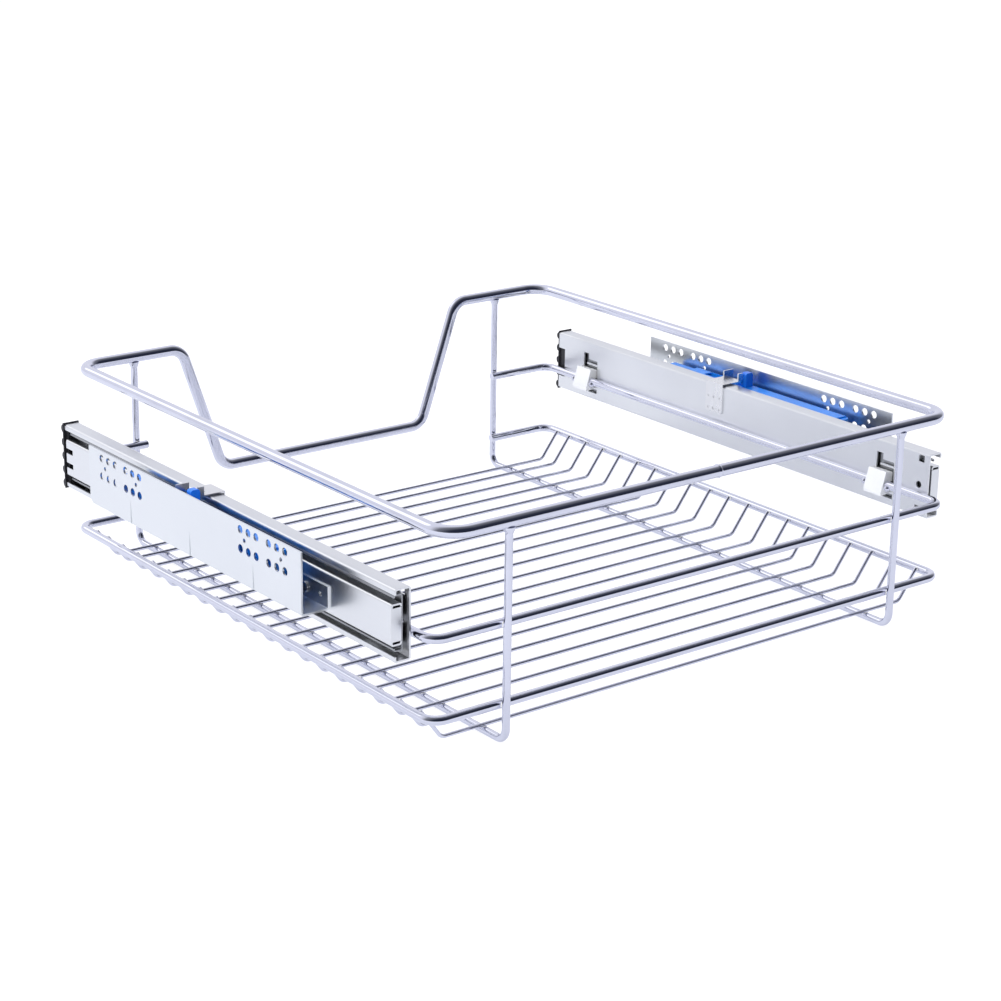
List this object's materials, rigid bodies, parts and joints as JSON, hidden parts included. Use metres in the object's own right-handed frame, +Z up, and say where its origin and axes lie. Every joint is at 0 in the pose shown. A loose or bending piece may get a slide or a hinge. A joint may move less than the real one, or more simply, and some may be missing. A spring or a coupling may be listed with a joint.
{
  "type": "pull out cabinet basket",
  "caption": "Wire basket for a kitchen base cabinet, with a dipped front rail, hung by clips on full-extension ball slides with side brackets and soft-close dampers.",
  "frame": {"origin": "middle of the part's footprint, on the surface that the two frame wires stand on", "axes": "+X to the right seen from the cabinet's front, +Y to the cabinet's back, +Z up; the basket pulls out towards -Y"},
  "size_m": [0.5, 0.4464, 0.1464],
  "materials": {
    "chrome_wire": "bright chrome plating on round steel wire",
    "chrome_floor_wire": "bright chrome plating on thin round steel wire",
    "zinc_rail": "zinc-plated rolled steel, satin, pale blue-grey",
    "zinc_middle_rail": "zinc-plated rolled steel, satin",
    "zinc_hook": "zinc-plated pressed steel",
    "zinc_plate": "bright zinc-plated pressed steel",
    "cage_steel": "plain pressed steel strip",
    "ball_steel": "polished bearing steel",
    "rivet_steel": "zinc-plated steel rivet",
    "damper_steel": "bright steel tube and rod",
    "spring_steel": "oiled spring steel",
    "black_plastic": "black moulded plastic",
    "white_plastic": "white moulded plastic",
    "blue_plastic": "saturated blue moulded plastic",
    "blue_catch": "saturated blue moulded plastic"
  },
  "bodies": {
    "cabinet_side": {"mounting_bracket_left": "zinc_plate", "cabinet_rail_left": "zinc_rail", "bracket_rivets_left": "rivet_steel", "closer_housing_left": "blue_plastic", "damper_cylinder_left": "damper_steel", "return_spring_left": "spring_steel", "mounting_bracket_right": "zinc_plate", "cabinet_rail_right": "zinc_rail", "bracket_rivets_right": "rivet_steel", "closer_housing_right": "blue_plastic", "damper_cylinder_right": "damper_steel", "return_spring_right": "spring_steel"},
    "basket": {"top_rail": "chrome_wire", "middle_ring": "chrome_wire", "lower_ring": "chrome_wire", "frame_wire_left": "chrome_wire", "frame_wire_right": "chrome_wire", "floor_wires": "chrome_floor_wire", "stop_nubs": "chrome_wire", "basket_rail_left": "zinc_rail", "hook_bracket_left": "zinc_hook", "bumper_left": "black_plastic", "wire_clips_left": "white_plastic", "basket_rail_right": "zinc_rail", "hook_bracket_right": "zinc_hook", "bumper_right": "black_plastic", "wire_clips_right": "white_plastic"},
    "middle_left": {"middle_rail_left": "zinc_middle_rail"},
    "outer_race_left": {"outer_cage_left": "cage_steel", "outer_balls_left": "ball_steel"},
    "inner_race_left": {"inner_cage_left": "cage_steel", "inner_balls_left": "ball_steel"},
    "catch_left": {"closer_catch_left": "blue_catch", "damper_rod_left": "damper_steel"},
    "middle_right": {"middle_rail_right": "zinc_middle_rail"},
    "outer_race_right": {"outer_cage_right": "cage_steel", "outer_balls_right": "ball_steel"},
    "inner_race_right": {"inner_cage_right": "cage_steel", "inner_balls_right": "ball_steel"},
    "catch_right": {"closer_catch_right": "blue_catch", "damper_rod_right": "damper_steel"}
  },
  "joints": [
    {"name": "basket_slide", "type": "slide", "parent": "cabinet_side", "child": "basket", "axis": [0, -1, 0], "range_m": [0, 0.4]},
    {"name": "middle_left_slide", "type": "slide", "parent": "cabinet_side", "child": "middle_left", "axis": [0, -1, 0], "range_m": [0, 0.2]},
    {"name": "outer_race_left_slide", "type": "slide", "parent": "cabinet_side", "child": "outer_race_left", "axis": [0, -1, 0], "range_m": [0, 0.3]},
    {"name": "inner_race_left_slide", "type": "slide", "parent": "cabinet_side", "child": "inner_race_left", "axis": [0, -1, 0], "range_m": [0, 0.1]},
    {"name": "catch_left_slide", "type": "slide", "parent": "cabinet_side", "child": "catch_left", "axis": [0, -1, 0], "range_m": [0, 0.04]},
    {"name": "middle_right_slide", "type": "slide", "parent": "cabinet_side", "child": "middle_right", "axis": [0, -1, 0], "range_m": [0, 0.2]},
    {"name": "outer_race_right_slide", "type": "slide", "parent": "cabinet_side", "child": "outer_race_right", "axis": [0, -1, 0], "range_m": [0, 0.3]},
    {"name": "inner_race_right_slide", "type": "slide", "parent": "cabinet_side", "child": "inner_race_right", "axis": [0, -1, 0], "range_m": [0, 0.1]},
    {"name": "catch_right_slide", "type": "slide", "parent": "cabinet_side", "child": "catch_right", "axis": [0, -1, 0], "range_m": [0, 0.04]}
  ],
  "couplings": [
    {"joint": "middle_left_slide", "follows": "basket_slide", "ratio": 0.5},
    {"joint": "outer_race_left_slide", "follows": "basket_slide", "ratio": 0.75},
    {"joint": "inner_race_left_slide", "follows": "basket_slide", "ratio": 0.25},
    {"joint": "catch_left_slide", "follows": "basket_slide", "ratio": 0.1},
    {"joint": "middle_right_slide", "follows": "basket_slide", "ratio": 0.5},
    {"joint": "outer_race_right_slide", "follows": "basket_slide", "ratio": 0.75},
    {"joint": "inner_race_right_slide", "follows": "basket_slide", "ratio": 0.25},
    {"joint": "catch_right_slide", "follows": "basket_slide", "ratio": 0.1}
  ]
}
